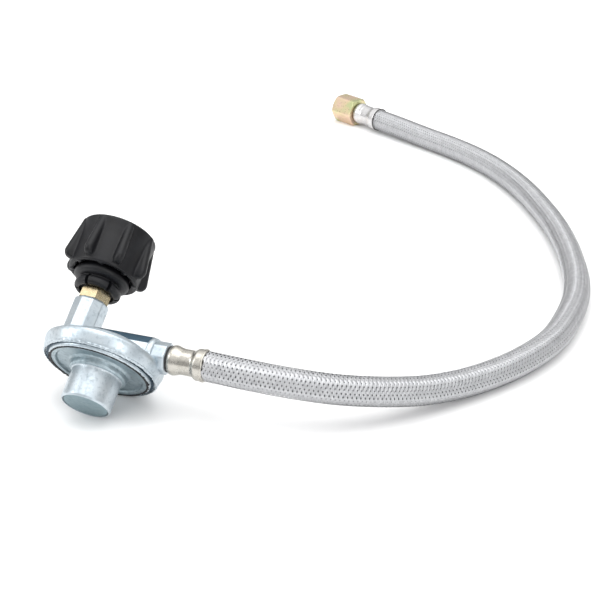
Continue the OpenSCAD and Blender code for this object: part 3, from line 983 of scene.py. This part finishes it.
KEPT_LOOKS = {
    "inlet_nipple": "brass", "nipple_seal": "rubber", "excess_flow_poppet": "brass",
    "poppet_retainer": "brass", "orifice": "brass", "seat_disc": "rubber",
    "seat_holder": "pale_plastic", "lever": "zinc_plated_steel", "lever_pin": "zinc_plated_steel",
    "diaphragm": "rubber", "diaphragm_plate": "zinc_plated_steel", "diaphragm_post": "zinc_plated_steel",
    "relief_spring": "spring_steel", "relief_retainer": "zinc_plated_steel",
    "adjusting_screw": "pale_plastic", "vent_screen": "zinc_plated_steel", "outlet_stem": "nickel_ferrule",
    "outlet_seal": "rubber", "far_seal": "rubber", "flare_tail": "bright_ferrule",
}
for node_name, look in KEPT_LOOKS.items():
    kept = CAD_NODES[node_name]
    kept.data.materials.clear()
    kept.data.materials.append(LOOKS[look])


def make_coil(node_name, look):
    """A copy of a spring's coil in its own finish, in place of the CAD node."""
    node = CAD_NODES[node_name]
    coil = bpy.data.objects.new(f"{node_name}_coil", node.data.copy())
    bpy.context.scene.collection.objects.link(coil)
    coil.data.materials.clear()
    coil.data.materials.append(LOOKS[look])
    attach(coil, "regulator")
    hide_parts(node_name)
    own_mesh(coil)


make_coil("main_spring", "spring_steel")
make_coil("excess_flow_spring", "spring_steel")

# --- Studio -------------------------------------------------------------------------------------


def make_floor():
    mesh = bpy.data.meshes.new("floor")
    half = 9.0
    corners = [(-half, -half, 0), (half, -half, 0), (half, half, 0), (-half, half, 0)]
    mesh.from_pydata(corners, [], [(0, 1, 2, 3)])
    n = Nodes("floor")
    soft = n.noise(3, 2, 0.4)
    n.finish(n.ramp(soft, [(0.3, (0.93, 0.93, 0.93)), (0.7, (0.945, 0.945, 0.945))]), n.span(soft, 0.9, 0.95))
    n.shader.inputs["Specular IOR Level"].default_value = 0.0
    mesh.materials.append(n.material)
    floor = bpy.data.objects.new("floor", mesh)
    bpy.context.scene.collection.objects.link(floor)


def make_sky():
    """Soft light from above that darkens towards the sides, which gives the metals their contrast."""
    world = bpy.data.worlds.new("studio")
    bpy.context.scene.world = world
    world.use_nodes = True
    tree = world.node_tree
    place = tree.nodes.new("ShaderNodeTexCoord")
    split = tree.nodes.new("ShaderNodeSeparateXYZ")
    ramp = tree.nodes.new("ShaderNodeValToRGB")
    stops = [(0.0, 0.8), (0.515, 0.8), (0.56, 0.22), (0.66, 0.55), (0.80, 1.25), (1.0, 1.35)]
    while len(ramp.color_ramp.elements) < len(stops):
        ramp.color_ramp.elements.new(0.5)
    for element, (where, value) in zip(ramp.color_ramp.elements, stops):
        element.position = where
        element.color = (value, value, value, 1)
    shift = tree.nodes.new("ShaderNodeMapRange")
    shift.inputs["From Min"].default_value = -1
    tree.links.new(place.outputs["Generated"], split.inputs["Vector"])
    tree.links.new(split.outputs["Z"], shift.inputs["Value"])
    tree.links.new(shift.outputs["Result"], ramp.inputs["Fac"])
    tree.links.new(ramp.outputs["Color"], tree.nodes["Background"].inputs["Color"])
    tree.nodes["Background"].inputs["Strength"].default_value = 0.85


def make_softbox(name, place, target, size, power):
    data = bpy.data.lights.new(name, "AREA")
    data.shape = "RECTANGLE"
    data.size, data.size_y = size
    data.energy = power
    lamp = bpy.data.objects.new(name, data)
    way = Vector(target) - Vector(place)
    lamp.matrix_world = Matrix.Translation(place) @ way.to_track_quat("-Z", "Y").to_matrix().to_4x4()
    bpy.context.scene.collection.objects.link(lamp)


make_floor()
make_sky()
make_softbox("top", (0.1, 0.2, 1.5), (0.05, 0.15, 0), (1.6, 1.6), 14)
make_softbox("left", (-1.2, -0.6, 0.8), (0, 0, 0.03), (0.5, 1.0), 7)
make_softbox("right", (1.0, -0.9, 0.7), (0, 0, 0.03), (0.3, 0.8), 4)
bpy.context.scene.view_settings.view_transform = "Standard"
